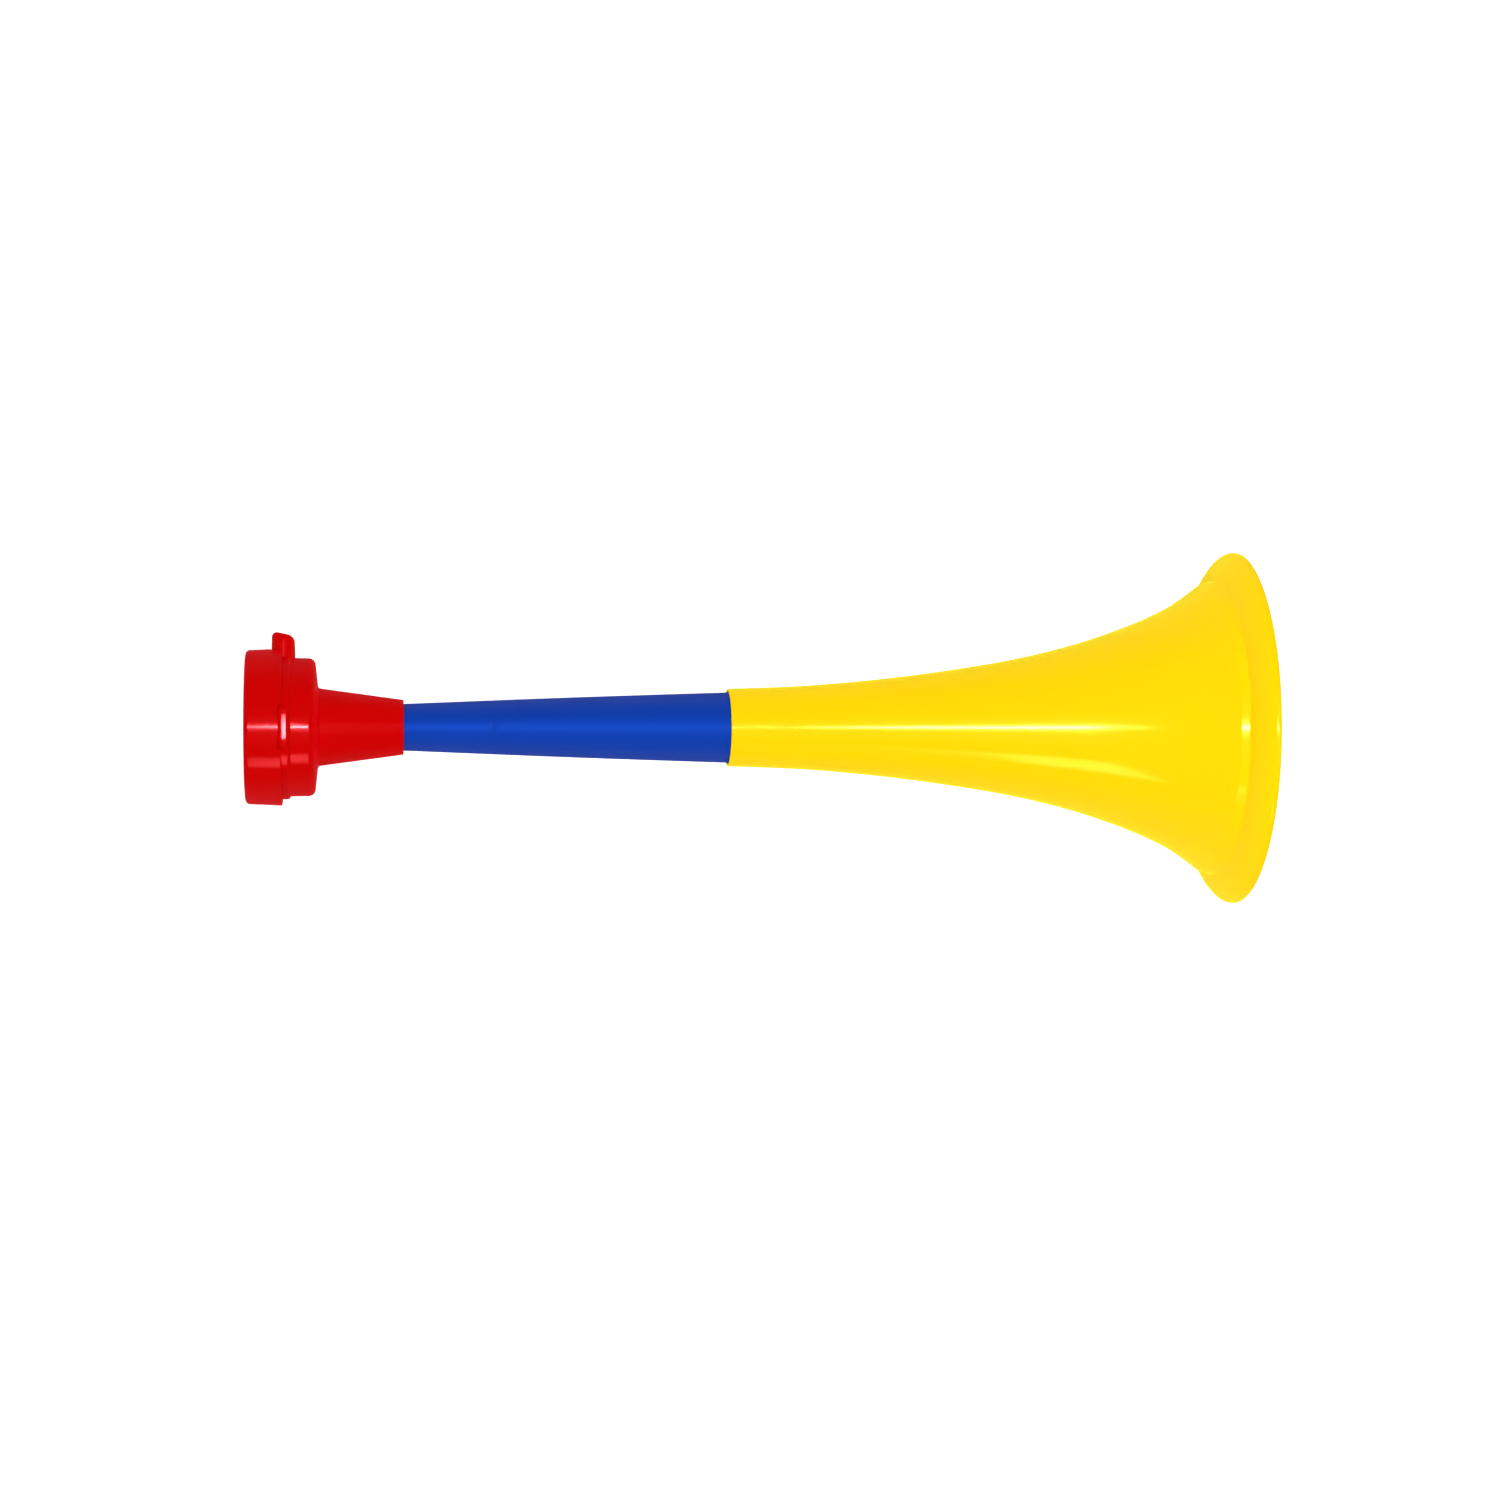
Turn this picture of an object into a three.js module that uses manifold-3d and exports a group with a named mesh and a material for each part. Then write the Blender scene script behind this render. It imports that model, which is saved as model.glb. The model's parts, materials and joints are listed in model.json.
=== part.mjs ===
// Three-section telescoping stadium horn, lying on its side.
//
// Millimetres, +Z up, bell toward +X. Every piece is turned about the horn's own axis, which
// runs from the cap's flat rear face (station 0) to the bell's mouth. The horn lies on two
// circles of different size, the cap and the bell's rim, so its axis rises toward the bell.
// The origin is the middle of the floor area that the horn covers.

import * as THREE from 'three';
import { mergeVertices } from 'three/addons/utils/BufferGeometryUtils.js';
import Module from 'manifold-3d';

const manifold = await Module();
manifold.setup();

// ---------- driving dimensions ----------

const ROUND_SIDES = 48; // flats round every turned piece; one flat faces straight down
const FIT_GAP = 0.3; // room left between pieces that touch on the real horn

// Cap: shallow cup pushed over the drum's rear.
const CAP_FRONT = 12.7; // station of the skirt's open edge
const CAP_REAR_RADIUS = 26.8;
const CAP_FRONT_RADIUS = 27.3;
const CAP_CORNER = 1.6; // rounding where the skirt meets the rear face
const CAP_WALL = 1.6; // thickness of the rear face
const CAP_RIB_DEPTH = 1.5; // how far the rib that presses the film stands off the rear wall
const CAP_RIB_WIDTH = 2.6;
const VENT_RADIUS = 2.2;
const VENT_RING_RADIUS = 9.5;
const VENT_COUNT = 6;

// Head: drum with a step flange, then the cone that holds the tube.
const DRUM_REAR = 4.0; // station of the drum's open rear rim
const FLANGE_FRONT = 15.1;
const FLANGE_RADIUS = 25.1;
const DRUM_RADIUS = 24.1;
const DRUM_FRONT = 25.0; // station where the front wall meets the cone
const DRUM_FRONT_SLANT = 1.1; // how far behind that the front wall's outer edge lies
const DRUM_FRONT_CORNER = 2.4;
const HEAD_WALL = 1.6;
const CONE_BASE_RADIUS = 13.6;
const CONE_TIP_RADIUS = 9.6;
const CONE_TIP = 54.4;
const SOCKET_DEPTH = 15.0; // how far the tube goes into the cone
const CHAMBER_END = 36.0; // station where the annular chamber inside the cone closes
const THROAT_RADIUS = 6.5; // bore that the film opens and closes
const THROAT_WALL = 1.7;

// Locating lug: raised pad on the flange's upper side, standing in a notch of the cap's skirt.
const LUG_REAR = 11.6;
const LUG_FRONT = 14.8;
const LUG_ACROSS = 14.4;
const LUG_TOP = 25.5; // distance of its top from the horn's axis
const LUG_ROOT = 0.1; // the lug starts this far outside the flange's inner face

// Blow spout: oval tube on the drum's +Y side.
const SPOUT_STATION = 13.0;
const SPOUT_ALONG = 8.2; // outer size along the horn's axis
const SPOUT_ACROSS = 11.0; // outer size round the drum
const SPOUT_WALL = 2.2;
const SPOUT_TIP = 33.4; // distance of the spout's tip from the horn's axis
const SPOUT_ROUNDING = 2.2;

// Film: lies on the throat's rim and on the drum's rear rim.
const FILM_RADIUS = 24.7;
const FILM_THICKNESS = 0.3;

// Tube: thin, gently tapered, its wide end held inside the bell's collar.
const TUBE_WALL = 1.1;
const TUBE_END = 183.0;
const TUBE_STATIONS = [
  [CONE_TIP - SOCKET_DEPTH + FIT_GAP, 7.6],
  [54.6, 8.2],
  [110, 10.45],
  [167.6, 12.45],
  [TUBE_END, 12.9],
];

// Bell: collar, long flare, narrow shoulder band, crease and rounded-over lip.
const COLLAR_START = 167.9;
const COLLAR_WALL = 1.0;
const BELL_WALL = 1.6;
const FLARE_STATIONS = [
  [COLLAR_START, 13.75],
  [195, 14.85],
  [222, 17.25],
  [248, 20.65],
  [272, 24.8],
  [294, 30.3],
  [313, 36.9],
  [328, 43.8],
  [339.6, 51.9],
];
const FULL_WALL_STATION = 248; // where the bell's wall reaches its full thickness
const CREASE = [342.9, 52.7];
const MOUTH = 350.7; // station of the bell's flat front edge
const RIM_RADIUS = 63.1;
const RIM_LAND = 0.8; // straight length of the rim at its full radius
const LIP_STEPS = 6;
const LIP_RUN_POWER = 0.5; // the lip leaves the crease steeply and eases into the rim
const LIP_RISE_POWER = 0.65;

const SECTION_STEPS = 2; // flare points for each stretch between two stations

// ---------- colours ----------

const red = new THREE.MeshStandardMaterial({ color: 0xc80a0c, roughness: 0.3, metalness: 0 });
const blue = new THREE.MeshStandardMaterial({ color: 0x1c44b0, roughness: 0.35, metalness: 0 });
const yellow = new THREE.MeshStandardMaterial({ color: 0xffd60a, roughness: 0.25, metalness: 0 });
const clearFilm = new THREE.MeshStandardMaterial({ color: 0xe8eef2, roughness: 0.2, metalness: 0 });

// ---------- outlines and solids ----------

// A point of a turned outline: distance from the axis, station along it.
const at = (radius, station) => new THREE.Vector2(radius, station);

// Points on a circle in the outline's plane, from one angle to another in degrees.
// Angle 0 points away from the axis, 90 points toward the mouth.
function arc(radius, station, size, fromDegrees, toDegrees, steps = 4) {
  const points = [];
  for (let i = 0; i <= steps; i += 1) {
    const angle = THREE.MathUtils.degToRad(fromDegrees + ((toDegrees - fromDegrees) * i) / steps);
    points.push(at(radius + size * Math.cos(angle), station + size * Math.sin(angle)));
  }
  return points;
}

// Radius at a station on an outline given as [station, radius] pairs.
function radiusAt(pairs, station) {
  const last = pairs.length - 1;
  let i = 1;
  while (i < last && pairs[i][0] < station) {
    i += 1;
  }
  const [fromStation, fromRadius] = pairs[i - 1];
  const [toStation, toRadius] = pairs[i];
  const share = (station - fromStation) / (toStation - fromStation);
  return fromRadius + share * (toRadius - fromRadius);
}

// Turns an outline about the horn's axis, which lies along X. A flat faces -Z.
function turned(outline) {
  const lathe = new THREE.LatheGeometry(outline, ROUND_SIDES, Math.PI / ROUND_SIDES);
  return lathe.rotateZ(-Math.PI / 2);
}

// An outline that goes round a wall and closes on its first point.
function closed(points) {
  return [...points, points[0].clone()];
}

function toSolid(geometry) {
  const bare = geometry.clone();
  bare.deleteAttribute('normal');
  bare.deleteAttribute('uv');
  const merged = mergeVertices(bare, 1e-4);
  const corners = new Float32Array(merged.attributes.position.array);
  const triangles = [];
  for (let i = 0; i < merged.index.count; i += 3) {
    const [a, b, c] = [0, 1, 2].map((k) => merged.index.getX(i + k));
    if (a !== b && b !== c && c !== a) {
      triangles.push(a, b, c);
    }
  }
  const mesh = new manifold.Mesh({
    numProp: 3,
    vertProperties: corners,
    triVerts: new Uint32Array(triangles),
  });
  return new manifold.Manifold(mesh);
}

function toGeometry(solid) {
  const mesh = solid.getMesh();
  const geometry = new THREE.BufferGeometry();
  geometry.setAttribute('position', new THREE.BufferAttribute(mesh.vertProperties, 3));
  geometry.setIndex(new THREE.BufferAttribute(mesh.triVerts, 1));
  geometry.computeVertexNormals();
  return geometry;
}

// Bar of oval section, standing out along +Z from one distance to another.
function ovalBar(along, across, from, to, rounding = 0) {
  const half = Math.min(along, across) / 2 - rounding;
  const straight = Math.max(across - along, 0) / 2;
  const oval = new THREE.Shape();
  oval.absarc(0, straight, half, 0, Math.PI, false);
  oval.absarc(0, -straight, half, Math.PI, 2 * Math.PI, false);
  const bar = new THREE.ExtrudeGeometry(oval, {
    depth: to - from - 2 * rounding,
    bevelEnabled: rounding > 0,
    bevelThickness: rounding,
    bevelSize: rounding,
    bevelSegments: 3,
    curveSegments: 8,
  });
  return bar.translate(0, 0, from + rounding);
}

// Oval bar at the spout's place, standing out along +Y.
function spoutBar(along, across, from, to, rounding = 0) {
  const bar = ovalBar(along, across, from, to, rounding);
  bar.rotateX(-Math.PI / 2);
  return bar.translate(SPOUT_STATION, 0, 0);
}

// ---------- pieces ----------

function makeCap() {
  const inner = FLANGE_RADIUS + FIT_GAP;
  const ribFront = CAP_WALL + CAP_RIB_DEPTH;
  const cup = turned([
    at(0, 0),
    ...arc(CAP_REAR_RADIUS - CAP_CORNER, CAP_CORNER, CAP_CORNER, -90, 0),
    at(CAP_FRONT_RADIUS, CAP_FRONT),
    at(inner, CAP_FRONT),
    at(inner, ribFront),
    at(inner - CAP_RIB_WIDTH, ribFront),
    at(inner - CAP_RIB_WIDTH, CAP_WALL),
    at(0, CAP_WALL),
  ]);
  let solid = toSolid(cup);

  const vent = new THREE.CylinderGeometry(VENT_RADIUS, VENT_RADIUS, 4 * CAP_WALL, 16);
  vent.rotateZ(Math.PI / 2);
  solid = solid.subtract(toSolid(vent));
  for (let i = 0; i < VENT_COUNT; i += 1) {
    const angle = (2 * Math.PI * i) / VENT_COUNT;
    const hole = vent.clone();
    hole.translate(0, VENT_RING_RADIUS * Math.cos(angle), VENT_RING_RADIUS * Math.sin(angle));
    solid = solid.subtract(toSolid(hole));
  }

  // Notches that let the skirt pass the spout and the lug, open to the skirt's front edge.
  const spoutNotch = spoutBar(
    SPOUT_ALONG + 2 * FIT_GAP, SPOUT_ACROSS + 2 * FIT_GAP, FLANGE_RADIUS - 4, SPOUT_TIP,
  );
  const lugNotch = new THREE.BoxGeometry(CAP_FRONT, LUG_ACROSS + 2 * FIT_GAP, CAP_FRONT);
  lugNotch.translate(LUG_REAR - FIT_GAP + CAP_FRONT / 2, 0, CAP_FRONT_RADIUS);
  solid = solid.subtract(toSolid(spoutNotch)).subtract(toSolid(lugNotch));
  return toGeometry(solid);
}

function makeFilm() {
  const rear = DRUM_REAR - FIT_GAP - FILM_THICKNESS;
  return turned([
    at(0, rear),
    at(FILM_RADIUS, rear),
    at(FILM_RADIUS, rear + FILM_THICKNESS),
    at(0, rear + FILM_THICKNESS),
  ]);
}

function makeHead() {
  const coneSlope = (CONE_BASE_RADIUS - CONE_TIP_RADIUS) / (CONE_TIP - DRUM_FRONT);
  const coneRadius = (station) => CONE_BASE_RADIUS - coneSlope * (station - DRUM_FRONT);
  const cornerStation = DRUM_FRONT - DRUM_FRONT_SLANT - DRUM_FRONT_CORNER;
  const innerDrum = DRUM_RADIUS - HEAD_WALL;
  const innerFlange = FLANGE_RADIUS - HEAD_WALL;
  const frontWall = DRUM_FRONT - HEAD_WALL;
  const throatOuter = THROAT_RADIUS + THROAT_WALL;
  const socketEnd = CONE_TIP - SOCKET_DEPTH;
  const socketRadius = (station) => radiusAt(TUBE_STATIONS, station) + FIT_GAP;

  const body = turned(closed([
    at(innerFlange, DRUM_REAR),
    at(FLANGE_RADIUS, DRUM_REAR),
    at(FLANGE_RADIUS, FLANGE_FRONT),
    at(DRUM_RADIUS, FLANGE_FRONT + 0.5),
    ...arc(DRUM_RADIUS - DRUM_FRONT_CORNER, cornerStation, DRUM_FRONT_CORNER, 0, 90),
    at(CONE_BASE_RADIUS, DRUM_FRONT),
    at(CONE_TIP_RADIUS, CONE_TIP),
    at(socketRadius(CONE_TIP), CONE_TIP),
    at(socketRadius(socketEnd), socketEnd),
    at(THROAT_RADIUS, socketEnd),
    at(THROAT_RADIUS, DRUM_REAR),
    at(throatOuter, DRUM_REAR),
    at(throatOuter, CHAMBER_END),
    at(coneRadius(CHAMBER_END) - HEAD_WALL, CHAMBER_END),
    at(CONE_BASE_RADIUS - HEAD_WALL, frontWall),
    ...arc(innerDrum - 1, frontWall - 1, 1, 90, 0, 2),
    at(innerDrum, FLANGE_FRONT),
    at(innerFlange, FLANGE_FRONT - 1.2),
  ]));

  const stem = spoutBar(
    SPOUT_ALONG, SPOUT_ACROSS, innerFlange - FIT_GAP, SPOUT_TIP, SPOUT_ROUNDING,
  );
  const bore = spoutBar(
    SPOUT_ALONG - 2 * SPOUT_WALL, SPOUT_ACROSS - 2 * SPOUT_WALL, innerFlange - 4, SPOUT_TIP + 1,
  );
  const lug = ovalBar(LUG_FRONT - LUG_REAR, LUG_ACROSS, innerFlange + LUG_ROOT, LUG_TOP);
  lug.translate((LUG_REAR + LUG_FRONT) / 2, 0, 0);
  const whole = toSolid(body).add(toSolid(lug)).add(toSolid(stem)).subtract(toSolid(bore));
  return toGeometry(whole);
}

function makeTube() {
  const outer = TUBE_STATIONS.map(([station, radius]) => at(radius, station));
  const inner = TUBE_STATIONS.map(([station, radius]) => at(radius - TUBE_WALL, station));
  return turned(closed([...outer, ...inner.reverse()]));
}

// The bell's outer outline, from the collar's edge to the mouth.
function bellOutline() {
  const flare = new THREE.SplineCurve(FLARE_STATIONS.map(([s, r]) => at(r, s)));
  const points = flare.getPoints(SECTION_STEPS * (FLARE_STATIONS.length - 1));
  const [creaseStation, creaseRadius] = CREASE;
  const lipLength = MOUTH - RIM_LAND - creaseStation;
  for (let i = 0; i <= LIP_STEPS; i += 1) {
    const angle = (Math.PI / 2) * (i / LIP_STEPS);
    points.push(at(
      creaseRadius + (RIM_RADIUS - creaseRadius) * Math.sin(angle) ** LIP_RISE_POWER,
      creaseStation + lipLength * (1 - Math.cos(angle)) ** LIP_RUN_POWER,
    ));
  }
  points.push(at(RIM_RADIUS, MOUTH));
  return points;
}

// Moves an outline toward the axis side by a wall that grows from the collar to the flare.
function innerOutline(outer) {
  const last = outer.length - 1;
  return outer.map((point, i) => {
    const before = outer[Math.max(i - 1, 0)];
    const after = outer[Math.min(i + 1, last)];
    const along = after.clone().sub(before).normalize();
    const share = THREE.MathUtils.smoothstep(point.y, COLLAR_START, FULL_WALL_STATION);
    const wall = THREE.MathUtils.lerp(COLLAR_WALL, BELL_WALL, share);
    const offset = at(point.x - wall * along.y, point.y + wall * along.x);
    if (i === 0) {
      offset.y = COLLAR_START;
    }
    if (i >= last - 1) {
      offset.y = i === last ? MOUTH : point.y;
    }
    return offset;
  });
}

function makeBell() {
  const outer = bellOutline();
  return turned(closed([...outer, ...innerOutline(outer).reverse()]));
}

// ---------- assembly ----------

function piece(name, geometry, material) {
  const mesh = new THREE.Mesh(geometry, material);
  mesh.name = name;
  return mesh;
}

// The horn touches the floor where the cap's corner ends and at the rim, each on the middle of
// a flat, so its axis leans by the slope between those two flats.
const flatShare = Math.cos(Math.PI / ROUND_SIDES);
const restRise = (RIM_RADIUS - CAP_REAR_RADIUS) * flatShare;
const restRun = MOUTH - RIM_LAND - CAP_CORNER;
const lean = Math.atan2(restRise, restRun);

const horn = new THREE.Group();
horn.add(
  piece('cap', makeCap(), red),
  piece('membrane', makeFilm(), clearFilm),
  piece('head_body', makeHead(), red),
  piece('middle_tube', makeTube(), blue),
  piece('bell', makeBell(), yellow),
);
horn.rotation.y = -lean;
horn.updateMatrixWorld(true);

// Stand the leaning horn on the floor, centred over the origin.
const covered = new THREE.Box3().setFromObject(horn, true);
const middle = covered.getCenter(new THREE.Vector3());
horn.position.set(-middle.x, -middle.y, -covered.min.z);

const root = new THREE.Group();
root.add(horn);

export default root;
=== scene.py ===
"""Looks of the three-section telescoping stadium horn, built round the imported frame.

Every turned piece is described in the horn's own frame: millimetres, station 0 at the cap's
flat rear face, stations growing toward the bell's mouth, +Y the side that the blow spout
points to. HORN carries that frame into the row's frame, in metres.
"""

import json
import math

import bmesh
import bpy
from mathutils import Matrix, Vector


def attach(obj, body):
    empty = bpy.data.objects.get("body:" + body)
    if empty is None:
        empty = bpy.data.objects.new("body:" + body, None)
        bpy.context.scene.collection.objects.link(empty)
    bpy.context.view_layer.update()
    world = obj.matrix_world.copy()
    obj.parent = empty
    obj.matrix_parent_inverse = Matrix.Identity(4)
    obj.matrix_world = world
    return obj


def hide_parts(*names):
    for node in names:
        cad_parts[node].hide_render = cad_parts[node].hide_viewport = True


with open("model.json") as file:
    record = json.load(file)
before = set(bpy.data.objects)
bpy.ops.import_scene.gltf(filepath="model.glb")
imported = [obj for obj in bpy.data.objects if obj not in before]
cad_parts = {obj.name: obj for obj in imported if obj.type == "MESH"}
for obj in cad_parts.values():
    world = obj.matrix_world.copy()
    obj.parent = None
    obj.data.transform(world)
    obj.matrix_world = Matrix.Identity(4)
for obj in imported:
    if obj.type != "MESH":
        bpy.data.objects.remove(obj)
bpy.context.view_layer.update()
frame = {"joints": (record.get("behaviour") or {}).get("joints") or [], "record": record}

# ---------- the horn's own frame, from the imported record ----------

joints = {joint["name"]: joint for joint in frame["joints"]}
mounts = {mount["name"]: mount for mount in frame["record"]["mounts"]}

AXIS = Vector(joints["tube_slide"]["axis"]).normalized()
SIDE = Vector((0.0, 1.0, 0.0))
UP = AXIS.cross(SIDE)
swivel_point = Vector(joints["head_swivel"]["pos_m"])
cap_face_point = Vector(mounts["cap_face"]["pos_m"])
TAIL = swivel_point + AXIS * (cap_face_point - swivel_point).dot(AXIS)

TURN = Matrix((AXIS, SIDE, UP)).transposed()
HORN = Matrix.Translation(TAIL) @ TURN.to_4x4() @ Matrix.Scale(0.001, 4)

# ---------- driving dimensions, mm ----------

CAD_SIDES = 48  # the CAD solids' flats; round pieces here just fit inside those flats
FLAT_SHARE = math.cos(math.pi / CAD_SIDES)
SIDES = 192
FIT_GAP = 0.3
EDGE = 0.35  # rounding of an ordinary moulded edge

CAP_REAR = 0.02
CAP_FRONT = 12.7
CAP_REAR_RADIUS = 26.72  # its rounded edge stays above the surface that the horn lies on
CAP_FRONT_RADIUS = 27.3
CAP_CORNER = 1.6
CAP_WALL = 1.6
CAP_RIB_DEPTH = 1.5
CAP_RIB_WIDTH = 2.6
VENT_RADIUS = 2.2
VENT_RING_RADIUS = 9.5
VENT_COUNT = 6
VENT_FLARE = 0.16  # how much wider the hole still is a tenth of a millimetre below its edge
CUT_MARGIN = 1.0  # how far a cutter reaches past what it cuts
CUTTER_SINK = 4.0  # how far a cutter or the blow hole reaches below the wall it starts from
NOTCH_CORNER = 0.6

DRUM_REAR = 4.0
FLANGE_FRONT = 15.1
FLANGE_RADIUS = 25.1
FLANGE_SLOPE = 0.5  # length of the sloping step from the flange down to the drum
FLANGE_INNER_SLOPE = 1.2
DRUM_RADIUS = 24.1
DRUM_FRONT = 25.0
DRUM_FRONT_CORNER = 2.4
DRUM_DRAFT = 0.1  # how much smaller the drum's radius is at its front corner
DRUM_FRONT_SLANT = 1.1  # the front wall's outer edge lies this far behind its inner one
HEAD_WALL = 1.6
CONE_BASE_RADIUS = 13.6
CONE_TIP_RADIUS = 9.6
CONE_TIP = 54.4
SOCKET_DEPTH = 15.0
CHAMBER_END = 36.0
THROAT_RADIUS = 6.5
THROAT_WALL = 1.7

LUG_REAR = 11.6  # locating lug on the flange, standing in a notch of the cap's skirt
LUG_FRONT = 14.8
LUG_ACROSS = 14.4
LUG_TOP = 25.5  # distance of the lug's top from the horn's axis
LUG_ROOT = 0.1  # the lug starts this far outside the flange's inner face
LUG_FLAT = 8.6  # length of the nearly flat middle of the lug's top
LUG_CROWN = 0.03  # fall of the top from the lug's middle to the end of the flat part
LUG_BEVEL = 0.3  # further fall from there to the lug's ends
LUG_REAR_BEVEL = (1.2, 0.25)  # width and fall of the bevel along the lug's rear edge
LUG_INSETS = (0.0, 0.08, 0.25, 0.7, 1.2, 1.55)  # outlines that the lug's top is built from
LUG_FALLS = (0.25, 0.08, 0.0, 0.0, 0.0, 0.0)  # fall of the rounded edge at each outline

SPOUT_STATION = 13.0
SPOUT_ALONG = 8.2
SPOUT_ACROSS = 11.0
SPOUT_DRAFT = 0.3  # how much narrower the spout is at its tip
SPOUT_WALL = 2.2
SPOUT_TIP = 33.4
SPOUT_ROUNDING = 2.2
SPOUT_SLANT = 0.22  # the lip is lower toward the bell by this share of the distance
SPOUT_CHAMFER = 0.5  # of the blow hole at the lip

FILM_RADIUS = 24.7
FILM_THICKNESS = 0.3
FILM_HUB = 0.05  # radius of the disc's innermost ring
FILM_SWELL = 0.06  # how far the film bows toward the horn's mouth, between hub and edge
FILM_PROFILE = ((FILM_HUB, 0), (8.0, 0), (12.0, 1), (18.0, 1), (22.6, 0), (FILM_RADIUS, 0))
FILM_SIDES = 96

TUBE_WALL = 1.1
TUBE_EDGE = 0.3
TUBE_STEPS = 12  # points of the smooth curve from one station to the next
TUBE_START = CONE_TIP - SOCKET_DEPTH + FIT_GAP
TUBE_STATIONS = [(TUBE_START, 7.6), (54.6, 8.2), (110, 10.45), (167.6, 12.45), (183.0, 12.9)]
GATE_STATION = 85.0  # moulding gate mark on the tube's upper side
GATE_ALONG = 0.9  # size of the gate mark along the tube
GATE_ACROSS = 4.6  # and round it
GATE_HEIGHT = 0.3
GATE_OFFSET = 1.0  # the mark lies this far in front of the parting line
GATE_PROFILE = ((1.0, -0.5), (1.0, 0.0), (0.9, 0.6), (0.6, 0.9), (0.2, 1.0))  # size, height
WITNESS_DEPTH = 0.05  # fine ring left by the mould's parting line at the gate
WITNESS_PROFILE = ((-0.3, 0), (-0.12, 1), (0.12, 1), (0.3, 0))  # offset, share of the depth
WITNESS_CLEAR = 1.0  # no other ring of points lies this near the parting line

COLLAR_WALL = 1.0
BELL_WALL = 1.6
FLARE_STATIONS = [
    (167.9, 13.75), (195, 14.85), (222, 17.25), (248, 20.65), (272, 24.8),
    (294, 30.3), (313, 36.9), (328, 43.8), (339.6, 51.9),
]
FLARE_STEPS = 8
FULL_WALL_STATION = 248.0  # where the bell's wall reaches its full thickness
LOOP_LIMIT = 0.05  # a point of the inner curve that gets on less than this is left out
INNER_CLEAR = (1.0, 1.4)  # the inner curve stops this far before the collar's edge and the mouth
CREASE = (342.9, 52.7)  # the narrow shoulder band ends and the lip starts here
SHOULDER_ROUNDING = 1.6
CREASE_ROUNDING = 1.4
MOUTH = 350.7
RIM_RADIUS = 63.02  # a little inside the CAD rim, so that the finer curve stays in its box
RIM_LAND = 0.8
RIM_ROUNDINGS = (0.6, 0.5)  # of the rim's outer and inner edge
COLLAR_ROUNDINGS = (0.45, 0.3)  # of the collar's outer and inner edge
LIP_STEPS = 20
LIP_RUN_POWER = 0.5  # these two bend the lip's quarter ellipse
LIP_RISE_POWER = 0.65


# ---------- outlines ----------

NEARLY_STRAIGHT = 0.02  # radians: a corner that turns less than this stays a point
ARC_SHARE = 0.49  # a corner's arc takes up at most this share of each side


def softened(corners, step=math.radians(12)):
    """Points of a closed outline of (station, radius, rounding) corners, each one an arc."""
    points = []
    count = len(corners)
    for index, (station, radius, rounding) in enumerate(corners):
        here = Vector((station, radius))
        if rounding <= 0:
            points.append(here)
            continue
        before = Vector(corners[index - 1][:2]) - here
        after = Vector(corners[(index + 1) % count][:2]) - here
        turn = math.pi - before.angle(after)
        if turn < NEARLY_STRAIGHT:
            points.append(here)
            continue
        reach = rounding * math.tan(turn / 2)
        reach = min(reach, ARC_SHARE * before.length, ARC_SHARE * after.length)
        size = reach / math.tan(turn / 2)
        start = here + before.normalized() * reach
        end = here + after.normalized() * reach
        middle = here + (before.normalized() + after.normalized()).normalized() * (
            size / math.cos(turn / 2)
        )
        steps = max(2, math.ceil(turn / step))
        for i in range(steps + 1):
            share = i / steps
            spoke = (start - middle) * math.sin((1 - share) * turn)
            spoke += (end - middle) * math.sin(share * turn)
            points.append(middle + spoke / math.sin(turn))
    return points


def curve_through(stations, steps):
    """Smooth curve through (station, radius) points, with some steps between each two."""
    last = len(stations) - 1
    points = []
    for i in range(last):
        ends = [Vector(stations[min(max(i + k, 0), last)]) for k in (-1, 0, 1, 2)]
        slope_in = (ends[2] - ends[0]) / 2
        slope_out = (ends[3] - ends[1]) / 2
        for k in range(steps):
            t = k / steps
            points.append(
                ends[1] * (2 * t**3 - 3 * t**2 + 1)
                + slope_in * (t**3 - 2 * t**2 + t)
                + ends[2] * (3 * t**2 - 2 * t**3)
                + slope_out * (t**3 - t**2)
            )
    points.append(Vector(stations[last]))
    return points


def radius_at(points, station):
    """Radius of a curve of (station, radius) points at one station."""
    for before, after in zip(points, points[1:]):
        if station <= after[0] or after is points[-1]:
            share = (station - before[0]) / (after[0] - before[0])
            return before[1] + share * (after[1] - before[1])


def plain(points):
    """Curve points as corners with no rounding."""
    return [(point[0], point[1], 0) for point in points]


# ---------- meshes ----------

def finished(name, mesh, sharp_angle=math.radians(40)):
    """A shown object from a mesh in the horn's frame, smooth except on its sharp edges."""
    mesh.name = name
    mesh.transform(HORN)
    work = bmesh.new()
    work.from_mesh(mesh)
    bmesh.ops.recalc_face_normals(work, faces=work.faces)
    for face in work.faces:
        face.smooth = True
    for edge in work.edges:
        edge.smooth = len(edge.link_faces) == 2 and edge.calc_face_angle() < sharp_angle
    work.to_mesh(mesh)
    work.free()
    piece = bpy.data.objects.new(name, mesh)
    bpy.context.scene.collection.objects.link(piece)
    weighted = piece.modifiers.new("even shading", "WEIGHTED_NORMAL")
    weighted.keep_sharp = True
    return piece


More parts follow.
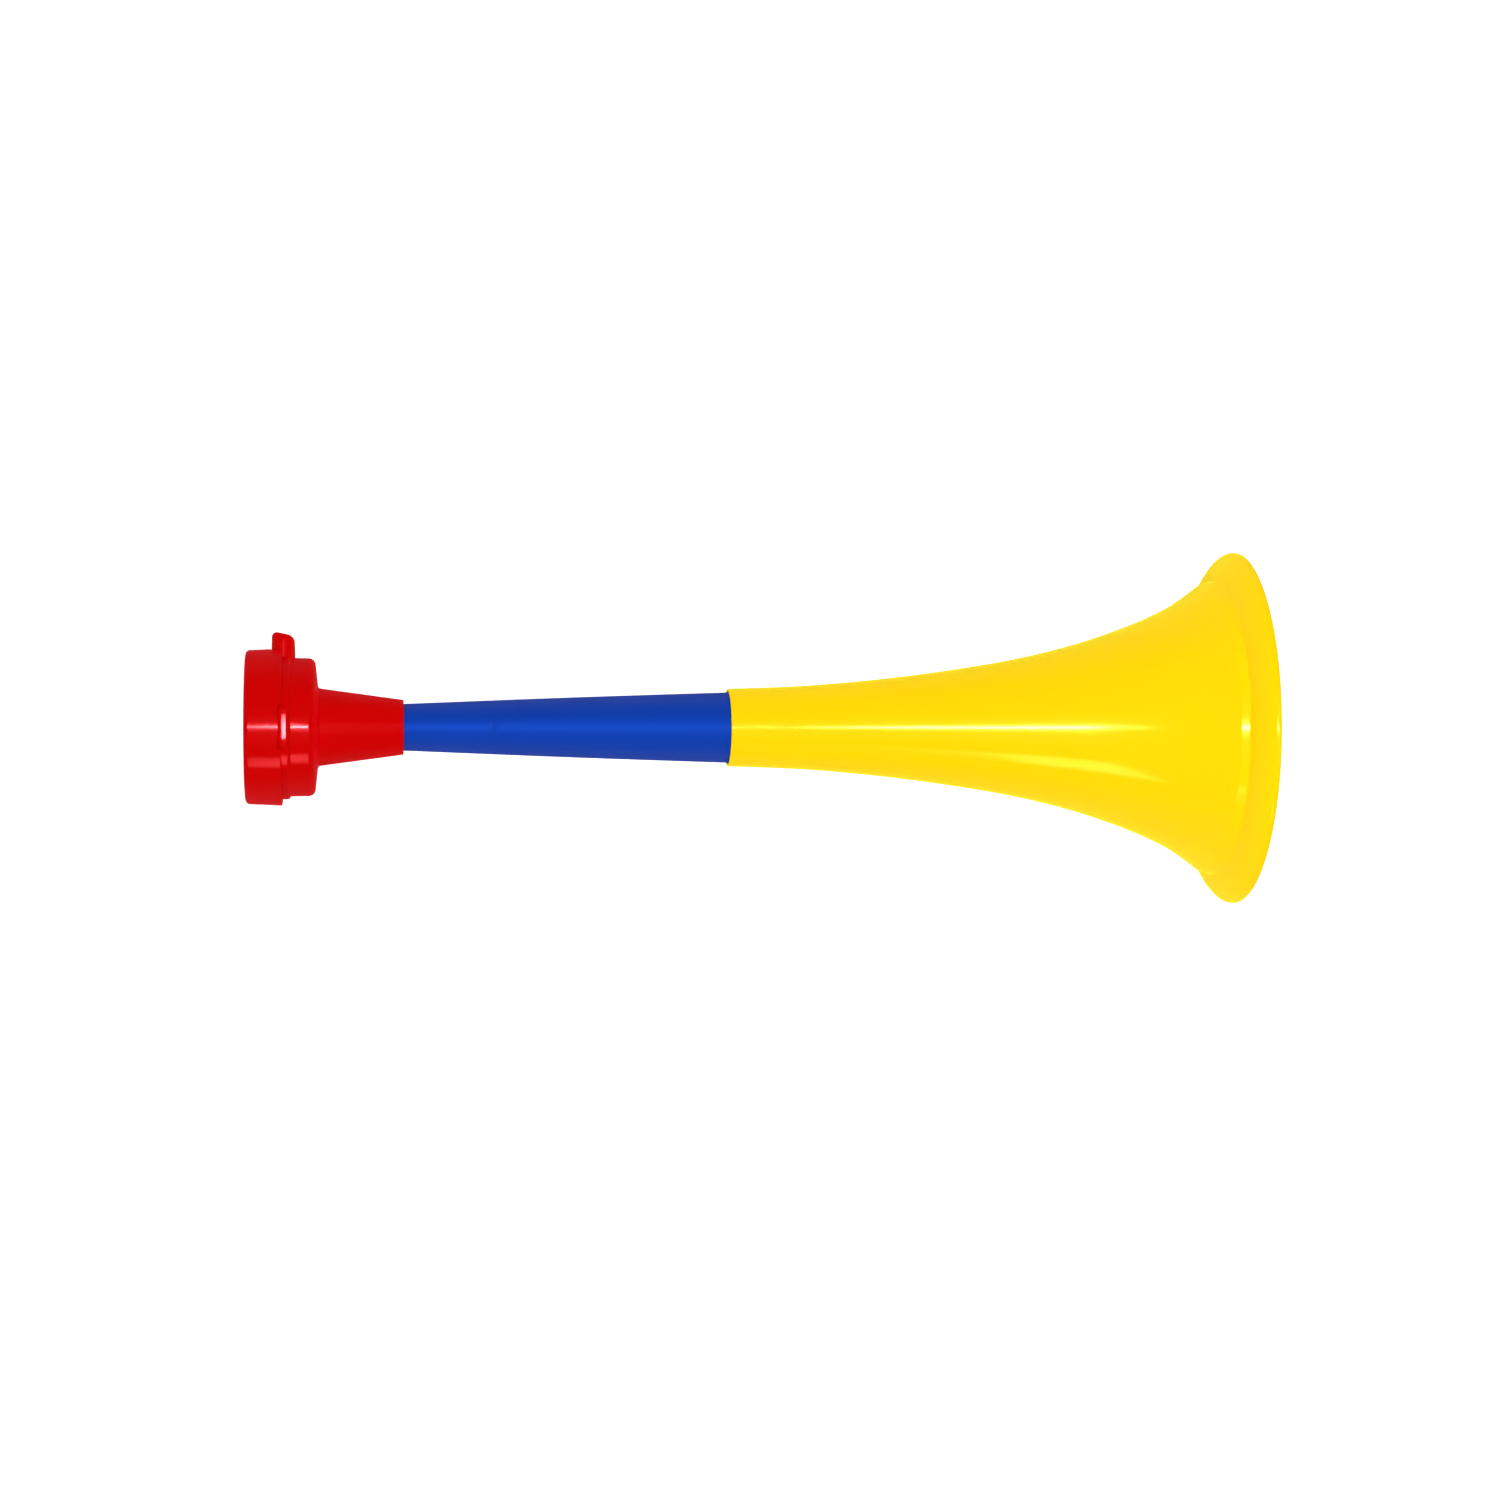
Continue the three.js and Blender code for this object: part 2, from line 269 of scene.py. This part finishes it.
def spun(outline, sides=SIDES):
    """Mesh of a closed outline of (station, radius) points turned about the horn's axis."""
    work = bmesh.new()
    rings = []
    for side in range(sides):
        angle = 2 * math.pi * (side + 0.5) / sides
        along_y = FLAT_SHARE * math.cos(angle)
        along_z = FLAT_SHARE * math.sin(angle)
        rings.append([work.verts.new((s, r * along_y, r * along_z)) for s, r in outline])
    for side in range(sides):
        here = rings[side]
        there = rings[(side + 1) % sides]
        for i in range(len(outline)):
            k = (i + 1) % len(outline)
            work.faces.new((here[i], here[k], there[k], there[i]))
    bmesh.ops.recalc_face_normals(work, faces=work.faces)
    mesh = bpy.data.meshes.new("spun")
    work.to_mesh(mesh)
    work.free()
    return mesh


def oval(along, across, count=72):
    """Points of an oval with round ends: size along the horn, then size across it."""
    half = along / 2
    straight = (across - along) / 2
    points = []
    for i in range(count):
        angle = 2 * math.pi * i / count
        shift = straight if i < count / 2 else -straight
        points.append((half * math.cos(angle), half * math.sin(angle) + shift))
    return points


def loft(rings):
    """Closed mesh through rings of as many points each, with flat ends."""
    work = bmesh.new()
    made = [[work.verts.new(point) for point in ring] for ring in rings]
    for here, there in zip(made, made[1:]):
        for i in range(len(here)):
            k = (i + 1) % len(here)
            work.faces.new((here[i], here[k], there[k], there[i]))
    work.faces.new(made[0])
    work.faces.new(made[-1])
    bmesh.ops.recalc_face_normals(work, faces=work.faces)
    mesh = bpy.data.meshes.new("loft")
    work.to_mesh(mesh)
    work.free()
    return mesh


def spout_ring(along, across, distance, slant=0.0):
    """Oval of the spout at a distance from the axis, its lip slanting toward the bell."""
    ring = []
    for x, z in oval(along, across):
        drop = SPOUT_SLANT * slant * (x + SPOUT_ALONG / 2)
        ring.append((SPOUT_STATION + x, distance - drop, z))
    return ring


def disc_ring(station, middle_y, middle_z, radius, sides=40):
    """Circle across the horn's axis."""
    ring = []
    for i in range(sides):
        turn = 2 * math.pi * i / sides
        y = middle_y + radius * math.cos(turn)
        z = middle_z + radius * math.sin(turn)
        ring.append((station, y, z))
    return ring


def combined(base, *steps):
    """Mesh after exact booleans: each step is (operation, mesh)."""
    holder = bpy.data.objects.new("base", base)
    bpy.context.scene.collection.objects.link(holder)
    helpers = []
    for operation, mesh in steps:
        helper = bpy.data.objects.new("helper", mesh)
        bpy.context.scene.collection.objects.link(helper)
        helpers.append(helper)
        modifier = holder.modifiers.new("boolean", "BOOLEAN")
        modifier.operation = operation
        modifier.solver = "EXACT"
        modifier.object = helper
    graph = bpy.context.evaluated_depsgraph_get()
    result = bpy.data.meshes.new_from_object(holder.evaluated_get(graph))
    for item in [holder, *helpers]:
        bpy.data.objects.remove(item)
    return result


# ---------- pieces ----------

def make_cap():
    inner = FLANGE_RADIUS + FIT_GAP
    rib_front = CAP_WALL + CAP_RIB_DEPTH
    cup = spun(softened([
        (CAP_REAR, VENT_RADIUS, EDGE),
        (CAP_REAR, CAP_REAR_RADIUS, CAP_CORNER),
        (CAP_FRONT, CAP_FRONT_RADIUS, EDGE),
        (CAP_FRONT, inner, EDGE),
        (rib_front, inner, EDGE),
        (rib_front, inner - CAP_RIB_WIDTH, EDGE),
        (CAP_WALL, inner - CAP_RIB_WIDTH, EDGE),
        (CAP_WALL, VENT_RADIUS, EDGE),
    ]))
    steps = []
    for i in range(VENT_COUNT):
        angle = 2 * math.pi * i / VENT_COUNT
        steps.append(("DIFFERENCE", vent_cutter(angle)))
    along = SPOUT_ALONG + 2 * FIT_GAP
    across = SPOUT_ACROSS + 2 * FIT_GAP
    notch_ends = (FLANGE_RADIUS - CUTTER_SINK, SPOUT_TIP + CUT_MARGIN)
    notch = loft([spout_ring(along, across, distance) for distance in notch_ends])
    steps.append(("DIFFERENCE", notch))
    steps.append(("DIFFERENCE", lug_notch()))
    return finished("cap_shell", combined(cup, *steps))


def vent_cutter(angle):
    """Round cutter through the cap's rear face, flared so that the hole's edges are soft."""
    below_edge = 0.1
    flare = [
        (-CUT_MARGIN, VENT_RADIUS + EDGE), (0.0, VENT_RADIUS + EDGE),
        (below_edge, VENT_RADIUS + VENT_FLARE), (EDGE, VENT_RADIUS),
        (CAP_WALL - EDGE, VENT_RADIUS), (CAP_WALL - below_edge, VENT_RADIUS + VENT_FLARE),
        (CAP_WALL, VENT_RADIUS + EDGE), (CAP_WALL + CUT_MARGIN, VENT_RADIUS + EDGE),
    ]
    y = VENT_RING_RADIUS * math.cos(angle)
    z = VENT_RING_RADIUS * math.sin(angle)
    return loft([disc_ring(station, y, z, radius) for station, radius in flare])


def lug_notch():
    """Cutter for the notch in the skirt's front edge that the lug stands in."""
    rear = LUG_REAR - FIT_GAP
    front = CAP_FRONT + 6 * CUT_MARGIN
    half = LUG_ACROSS / 2 + FIT_GAP
    steps = 4
    corner = []
    for i in range(steps + 1):
        angle = math.pi / 2 * i / steps
        x = rear + NOTCH_CORNER * (1 - math.sin(angle))
        corner.append((x, half - NOTCH_CORNER * (1 - math.cos(angle))))
    outline = [(front, -half), (front, half), *corner]
    outline += [(x, -y) for x, y in reversed(corner)]
    heights = (FLANGE_RADIUS - CUTTER_SINK, CAP_FRONT_RADIUS + 2 * CUT_MARGIN)
    return loft([[(x, y, height) for x, y in outline] for height in heights])


def make_head():
    slope = (CONE_BASE_RADIUS - CONE_TIP_RADIUS) / (CONE_TIP - DRUM_FRONT)
    chamber_radius = CONE_BASE_RADIUS - slope * (CHAMBER_END - DRUM_FRONT) - HEAD_WALL
    inner_drum = DRUM_RADIUS - HEAD_WALL
    inner_flange = FLANGE_RADIUS - HEAD_WALL
    front_wall = DRUM_FRONT - HEAD_WALL
    throat_outer = THROAT_RADIUS + THROAT_WALL
    socket_end = CONE_TIP - SOCKET_DEPTH
    body = spun(softened([
        (DRUM_REAR, inner_flange, EDGE),
        (DRUM_REAR, FLANGE_RADIUS, EDGE),
        (FLANGE_FRONT, FLANGE_RADIUS, 0.6),
        (FLANGE_FRONT + FLANGE_SLOPE, DRUM_RADIUS, 0.5),
        (DRUM_FRONT - DRUM_FRONT_SLANT, DRUM_RADIUS - DRUM_DRAFT, DRUM_FRONT_CORNER),
        (DRUM_FRONT, CONE_BASE_RADIUS, 0.9),
        (CONE_TIP, CONE_TIP_RADIUS, EDGE),
        (CONE_TIP, radius_at(TUBE_STATIONS, CONE_TIP) + FIT_GAP, 0.3),
        (socket_end, radius_at(TUBE_STATIONS, TUBE_START) + FIT_GAP, 0.2),
        (socket_end, THROAT_RADIUS, EDGE),
        (DRUM_REAR, THROAT_RADIUS, EDGE),
        (DRUM_REAR, throat_outer, EDGE),
        (CHAMBER_END, throat_outer, 0.8),
        (CHAMBER_END, chamber_radius, 0.8),
        (front_wall, CONE_BASE_RADIUS - HEAD_WALL, 0.6),
        (front_wall, inner_drum, 1.0),
        (FLANGE_FRONT, inner_drum, EDGE),
        (FLANGE_FRONT - FLANGE_INNER_SLOPE, inner_flange, EDGE),
    ]))
    mesh = combined(
        body,
        ("UNION", spout_stem(inner_flange - FIT_GAP)),
        ("UNION", lug(inner_flange + LUG_ROOT)),
        ("DIFFERENCE", spout_bore(inner_flange - CUTTER_SINK)),
    )
    return finished("head_shell", mesh)


def spout_stem(root):
    """The spout's outside, from inside the drum's wall to its rounded tip."""
    rings = [spout_ring(SPOUT_ALONG, SPOUT_ACROSS, root)]
    rings.append(spout_ring(SPOUT_ALONG, SPOUT_ACROSS, FLANGE_RADIUS))
    steps = 8
    for i in range(steps + 1):
        angle = math.pi / 2 * i / steps
        inset = SPOUT_DRAFT / 2 + SPOUT_ROUNDING * (1 - math.cos(angle))
        height = SPOUT_TIP - SPOUT_ROUNDING * (1 - math.sin(angle))
        rings.append(spout_ring(SPOUT_ALONG - 2 * inset, SPOUT_ACROSS - 2 * inset, height, 1))
    return loft(rings)


def spout_bore(root):
    """The spout's blow hole, with a small chamfer at its lip."""
    along = SPOUT_ALONG - 2 * SPOUT_WALL
    across = SPOUT_ACROSS - 2 * SPOUT_WALL
    rings = [spout_ring(along, across, root)]
    for wider, lower in ((0, 2), (1 / 3, 1), (1, 0)):
        more = SPOUT_CHAMFER * wider
        distance = SPOUT_TIP - SPOUT_CHAMFER * lower
        rings.append(spout_ring(along + more, across + more, distance, 1))
    above = SPOUT_TIP + 2 * CUT_MARGIN
    rings.append(spout_ring(along + SPOUT_CHAMFER, across + SPOUT_CHAMFER, above))
    return loft(rings)


def lug(root):
    """Locating lug on the flange: oval, bevelled at its rear and falling away at its ends."""
    rings = [[(x, y, root) for x, y in lug_outline(0.0)]]
    for inset, fall in zip(LUG_INSETS, LUG_FALLS):
        rings.append([(x, y, lug_top(x, y) - fall) for x, y in lug_outline(inset)])
    return loft(rings)


def lug_outline(inset, side_steps=24, end_steps=12):
    """Oval of the lug, moved inward, with points along its straight sides too."""
    middle = (LUG_REAR + LUG_FRONT) / 2
    half = (LUG_FRONT - LUG_REAR) / 2
    straight = LUG_ACROSS / 2 - half
    points = []
    for way in (1, -1):
        for i in range(side_steps):
            y = way * straight * (2 * i / side_steps - 1)
            points.append((middle + way * (half - inset), y))
        for i in range(end_steps):
            turn = math.pi * i / end_steps
            x = way * (half - inset) * math.cos(turn)
            points.append((middle + x, way * (straight + (half - inset) * math.sin(turn))))
    return points


def lug_top(x, y):
    """Distance of the lug's top from the axis, at a station and a distance from its middle."""
    share = abs(y) / (LUG_FLAT / 2)
    past = max(abs(y) - LUG_FLAT / 2, 0.0) / ((LUG_ACROSS - LUG_FLAT) / 2)
    width, fall = LUG_REAR_BEVEL
    behind = max(1 - (x - LUG_REAR) / width, 0.0)
    return LUG_TOP - LUG_CROWN * share**2 - LUG_BEVEL * past**1.5 - fall * behind


def make_film():
    """Thin disc with a shallow raised ring between the throat's rim and the drum's rim."""
    rear = DRUM_REAR - FIT_GAP - FILM_THICKNESS
    front = rear + FILM_THICKNESS
    outline = [(rear + FILM_SWELL * swell, radius) for radius, swell in FILM_PROFILE]
    outline += [(front + FILM_SWELL * swell, radius) for radius, swell in reversed(FILM_PROFILE)]
    return finished("film_disc", spun(outline, FILM_SIDES))


def make_tube():
    curve = curve_through(TUBE_STATIONS, TUBE_STEPS)
    outer = [point for point in curve if abs(point[0] - GATE_STATION) > WITNESS_CLEAR]
    for offset, share in WITNESS_PROFILE:
        station = GATE_STATION + offset
        outer.append(Vector((station, radius_at(curve, station) - WITNESS_DEPTH * share)))
    outer.sort(key=lambda point: point[0])
    inner = [(point[0], point[1] - TUBE_WALL) for point in reversed(curve)]
    corners = []
    for side in (outer, inner):
        corners += [(*side[0], TUBE_EDGE), *plain(side[1:-1]), (*side[-1], TUBE_EDGE)]
    nub = gate_nub(radius_at(curve, GATE_STATION) * FLAT_SHARE)
    mesh = combined(spun(softened(corners)), ("UNION", nub))
    return finished("tube_shell", mesh)


def gate_nub(surface):
    """Low ridge left by the moulding gate, lying round the tube's upper side."""
    rings = []
    for share, height in GATE_PROFILE:
        radius = surface + GATE_HEIGHT * height
        ring = []
        for x, y in oval(GATE_ALONG * share, GATE_ACROSS - GATE_ALONG * (1 - share)):
            ring.append((GATE_STATION + GATE_OFFSET + x, y, math.sqrt(radius**2 - y**2)))
        rings.append(ring)
    return loft(rings)


def bell_outer():
    """The bell's outer curve, from the collar's edge past the crease to the rim."""
    flare = curve_through(FLARE_STATIONS, FLARE_STEPS)
    corners = plain(flare)
    corners[-1] = (*FLARE_STATIONS[-1], SHOULDER_ROUNDING)
    corners.append((*CREASE, CREASE_ROUNDING))
    length = MOUTH - RIM_LAND - CREASE[0]
    rise = RIM_RADIUS - CREASE[1]
    for i in range(1, LIP_STEPS + 1):
        angle = math.pi / 2 * i / LIP_STEPS
        station = CREASE[0] + length * (1 - math.cos(angle)) ** LIP_RUN_POWER
        corners.append((station, CREASE[1] + rise * math.sin(angle) ** LIP_RISE_POWER, 0))
    return corners


def moved_inward(corners):
    """The bell's inner curve: the outer one moved by the wall, with no loops left in it."""
    points = [Vector(corner[:2]) for corner in corners]
    start = points[0][0]
    inner = []
    last = len(points) - 1
    for i, point in enumerate(points):
        along = (points[min(i + 1, last)] - points[max(i - 1, 0)]).normalized()
        share = min(max((point[0] - start) / (FULL_WALL_STATION - start), 0), 1)
        share = share * share * (3 - 2 * share)
        wall = COLLAR_WALL + (BELL_WALL - COLLAR_WALL) * share
        moved = Vector((point[0] + wall * along[1], point[1] - wall * along[0]))
        if not inner or (moved - inner[-1]).dot(along) > LOOP_LIMIT:
            inner.append(moved)
    return inner


def make_bell():
    outer = bell_outer()
    inner = moved_inward(outer)
    start = outer[0][0]
    first, last = start + INNER_CLEAR[0], MOUTH - INNER_CLEAR[1]
    kept = [point for point in inner if first < point[0] < last]
    corners = [
        (start, outer[0][1], COLLAR_ROUNDINGS[0]),
        *outer[1:],
        (MOUTH, RIM_RADIUS, RIM_ROUNDINGS[0]),
        (MOUTH, RIM_RADIUS - BELL_WALL, RIM_ROUNDINGS[1]),
        *plain(reversed(kept)),
        (start, inner[0][1], COLLAR_ROUNDINGS[1]),
    ]
    return finished("bell_shell", spun(softened(corners)))


# ---------- materials ----------

PLASTIC_IOR = 1.46
SHEEN_ROUGHNESS = 0.4


def linear(red, green, blue):
    """Scene colour of an 8-bit sRGB one."""
    def one(value):
        share = value / 255
        return share / 12.92 if share <= 0.04045 else ((share + 0.055) / 1.055) ** 2.4
    return (one(red), one(green), one(blue), 1.0)


def scaled(colour, factor):
    """A colour made darker or brighter."""
    return tuple(min(value * factor, 1.0) for value in colour[:3]) + (1.0,)


def new_material(name):
    """A material with its node tree and its main shader."""
    material = bpy.data.materials.new(name)
    material.use_nodes = True
    return material, material.node_tree, material.node_tree.nodes["Principled BSDF"]


def noise(tree, place, scale, detail):
    """Output of a noise texture at a place."""
    texture = tree.nodes.new("ShaderNodeTexNoise")
    texture.inputs["Scale"].default_value = scale
    texture.inputs["Detail"].default_value = detail
    tree.links.new(place, texture.inputs["Vector"])
    return texture.outputs["Fac"]


def ranged(tree, value, low, high, start=0.0, end=1.0):
    """Output that goes from low to high as the value goes from start to end."""
    node = tree.nodes.new("ShaderNodeMapRange")
    node.inputs["From Min"].default_value = start
    node.inputs["From Max"].default_value = end
    node.inputs["To Min"].default_value = low
    node.inputs["To Max"].default_value = high
    tree.links.new(value, node.inputs["Value"])
    return node.outputs["Result"]


def in_horn_frame(tree):
    """Place on the object, turned so that X runs along the horn; in metres."""
    place = tree.nodes.new("ShaderNodeTexCoord")
    turned = tree.nodes.new("ShaderNodeMapping")
    turned.vector_type = "TEXTURE"
    turned.inputs["Location"].default_value = TAIL
    turned.inputs["Rotation"].default_value = TURN.to_euler()
    tree.links.new(place.outputs["Object"], turned.inputs["Vector"])
    return turned.outputs["Vector"]


def plastic(name, colour, roughness, mottle, painted_edge_sheen, gloss_tint, painted_sheen_colour):
    """Moulded plastic: faint colour drift, fine orange peel and thin handling scuffs.

    The colour drifts by the share mottle either way. The fifth and last arguments are the weight
    and colour of a painted edge sheen: a sheen layer that lightens the grazing edges in the
    plastic's own colour.
    """
    material, tree, shader = new_material(name)
    nodes, links = tree.nodes, tree.links
    local = in_horn_frame(tree)

    tint = nodes.new("ShaderNodeMix")
    tint.data_type = "RGBA"
    tint.inputs["A"].default_value = scaled(colour, 1 - mottle)
    tint.inputs["B"].default_value = scaled(colour, 1 + mottle)
    links.new(noise(tree, local, scale=22.0, detail=4.0), tint.inputs["Factor"])
    links.new(tint.outputs["Result"], shader.inputs["Base Color"])

    stretch = nodes.new("ShaderNodeMapping")
    stretch.inputs["Scale"].default_value = (60.0, 900.0, 900.0)  # long, thin scuffs
    links.new(local, stretch.inputs["Vector"])
    scratches = noise(tree, stretch.outputs["Vector"], scale=1.0, detail=3.0)
    rough = nodes.new("ShaderNodeMath")
    rough.operation = "ADD"
    rough.inputs[1].default_value = roughness
    scuffs = ranged(tree, scratches, low=0.0, high=0.1, start=0.62, end=0.72)
    links.new(scuffs, rough.inputs[0])
    links.new(rough.outputs["Value"], shader.inputs["Roughness"])

    bump = nodes.new("ShaderNodeBump")
    bump.inputs["Strength"].default_value = 0.04
    bump.inputs["Distance"].default_value = 0.0004
    links.new(noise(tree, local, scale=420.0, detail=2.0), bump.inputs["Height"])
    links.new(bump.outputs["Normal"], shader.inputs["Normal"])

    shader.inputs["IOR"].default_value = PLASTIC_IOR
    shader.inputs["Specular Tint"].default_value = gloss_tint
    # painted edge sheen: a sheen layer that lightens the grazing edges in the plastic's own colour
    shader.inputs["Sheen Weight"].default_value = painted_edge_sheen
    shader.inputs["Sheen Roughness"].default_value = SHEEN_ROUGHNESS
    shader.inputs["Sheen Tint"].default_value = painted_sheen_colour
    return material


def film_material():
    """Thin milky plastic film."""
    material, tree, shader = new_material("clear_film")
    shader.inputs["Base Color"].default_value = (0.82, 0.86, 0.88, 1.0)
    shader.inputs["Transmission Weight"].default_value = 0.35
    shader.inputs["IOR"].default_value = 1.4
    place = tree.nodes.new("ShaderNodeTexCoord")
    wrinkles = noise(tree, place.outputs["Object"], scale=160.0, detail=3.0)
    tree.links.new(ranged(tree, wrinkles, low=0.2, high=0.4), shader.inputs["Roughness"])
    return material


# ---------- studio ----------

FLOOR_SIZE = 80.0  # m, so wide that its far edge never shows
FLOOR_DROP = 0.0005  # m below the surface that the horn lies on


def make_floor():
    """White floor that gives a little light of its own, so that it stays white in the picture."""
    bpy.ops.mesh.primitive_plane_add(size=FLOOR_SIZE)
    floor = bpy.context.object
    floor.name = "floor"
    floor.location.z = -FLOOR_DROP
    material, _, shader = new_material("white_floor")
    shader.inputs["Base Color"].default_value = (0.9, 0.9, 0.9, 1.0)
    shader.inputs["Roughness"].default_value = 0.9
    shader.inputs["Specular IOR Level"].default_value = 0.0
    shader.inputs["Emission Color"].default_value = (1.0, 1.0, 1.0, 1.0)
    shader.inputs["Emission Strength"].default_value = 0.75
    floor.data.materials.append(material)
    floor.visible_glossy = False


def make_world():
    """White light on matt surfaces, a dim room in reflections."""
    world = bpy.data.worlds.new("studio")
    bpy.context.scene.world = world
    world.use_nodes = True
    tree = world.node_tree
    background = tree.nodes["Background"]
    background.inputs["Color"].default_value = (1.0, 1.0, 1.0, 1.0)
    rays = tree.nodes.new("ShaderNodeLightPath")
    strength = ranged(tree, rays.outputs["Is Glossy Ray"], low=0.28, high=0.06)
    tree.links.new(strength, background.inputs["Strength"])


def area_light(name, place, target, size, power):
    """Rectangular light facing a target; the first size lies as near the horn's axis as it can."""
    away = (place - target).normalized()
    across = (AXIS - away * AXIS.dot(away)).normalized()
    data = bpy.data.lights.new(name, "AREA")
    data.shape = "RECTANGLE"
    data.size, data.size_y = size
    data.energy = power
    light = bpy.data.objects.new(name, data)
    bpy.context.scene.collection.objects.link(light)
    light.location = place
    light.rotation_mode = "QUATERNION"
    turn = Matrix((across, away.cross(across), away)).transposed()
    light.rotation_quaternion = turn.to_quaternion()
    return light


def horn_point(station, side, up):
    """Place in the row's frame of a point in the horn's frame, mm."""
    return HORN @ Vector((station, side, up))


CAMERA_LENS = 76.8  # mm on a 36 mm sensor
CAMERA_TILT = math.radians(7.0)  # the bell's end is farther from the camera than the tail
TAIL_DEPTH = 1.1078  # m from the camera to the tail, along the view
TAIL_LEFT = 0.17465  # m from the view's centre to the tail
AXIS_ABOVE = 0.0079  # m from the view's centre up to the horn's axis


def make_camera():
    """Looks down on the lying horn, its axis level in the picture."""
    lean = math.atan2(AXIS[2], AXIS[0])
    tilt = lean + CAMERA_TILT
    forward = Vector((math.sin(tilt), 0.0, -math.cos(tilt)))
    right = Vector((math.cos(tilt), 0.0, math.sin(tilt)))
    data = bpy.data.cameras.new("camera")
    data.lens = CAMERA_LENS
    data.sensor_width = 36.0
    camera = bpy.data.objects.new("camera", data)
    bpy.context.scene.collection.objects.link(camera)
    camera.location = TAIL + right * TAIL_LEFT - forward * TAIL_DEPTH - SIDE * AXIS_ABOVE
    camera.rotation_mode = "QUATERNION"
    camera.rotation_quaternion = Matrix((right, SIDE, -forward)).transposed().to_quaternion()
    bpy.context.scene.camera = camera


# Each light: name, place and target in the horn's frame (mm), size (m), power (W), and whether it
# shades matt surfaces and stays out of reflections (True) or shows only as a highlight (False).
LIGHTS = [
    ("overhead_soft", (220, -90, 1200), (150, 0, 0), (0.9, 0.9), 14.6, True),
    ("strip_core", (18, 0, 1200), (18, 0, 0), (0.294, 0.036), 12.5, False),
    ("strip_ends", (-43, 0, 1210), (-43, 0, 0), (0.51, 0.03), 2.5, False),
    ("side_window", (0, -900, 690), (0, 0, 690), (0.28, 0.36), 2.2, False),
    ("far_fill", (-150, 1300, 500), (180, 0, 0), (1.6, 1.0), 1.4, True),
]


def make_lights():
    for name, place, target, size, power, shades in LIGHTS:
        light = area_light(name, horn_point(*place), horn_point(*target), size, power)
        light.visible_diffuse = shades
        light.visible_glossy = not shades


# ---------- put together ----------

RED = linear(199, 2, 2)
BLUE = linear(14, 57, 160)
YELLOW = linear(255, 208, 5)

make_camera()
# Each plastic below has a painted edge sheen that lightens its grazing edges; its weight and
# colour are the third and last keyword settings
red = plastic(
    "red_plastic", RED, roughness=0.12, mottle=0.04, painted_edge_sheen=0.6,
    gloss_tint=(1.0, 0.1, 0.12, 1.0), painted_sheen_colour=(0.85, 0.0, 0.01, 1.0),
)
blue = plastic(
    "blue_plastic", BLUE, roughness=0.46, mottle=0.04, painted_edge_sheen=0.5,
    gloss_tint=(0.02, 0.12, 0.9, 1.0), painted_sheen_colour=(0.01, 0.05, 0.4, 1.0),
)
yellow = plastic(
    "yellow_plastic", YELLOW, roughness=0.13, mottle=0.015, painted_edge_sheen=1.0,
    gloss_tint=(1.0, 0.95, 0.14, 1.0), painted_sheen_colour=(1.0, 0.9, 0.02, 1.0),
)

parts = [
    (make_cap(), "cap", "cap_section", "red_plastic", red),
    (make_head(), "head_body", "head_section", "red_plastic", red),
    (make_film(), "membrane", "head_section", "clear_film", film_material()),
    (make_tube(), "middle_tube", "tube_section", "blue_plastic", blue),
    (make_bell(), "bell", "bell_section", "yellow_plastic", yellow),
]
for piece, node, body, slot, material in parts:
    piece.data.materials.clear()
    piece.data.materials.append(material)
    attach(piece, body)
    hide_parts(node)

make_floor()
make_world()
make_lights()
bpy.context.scene.view_settings.view_transform = "Standard"
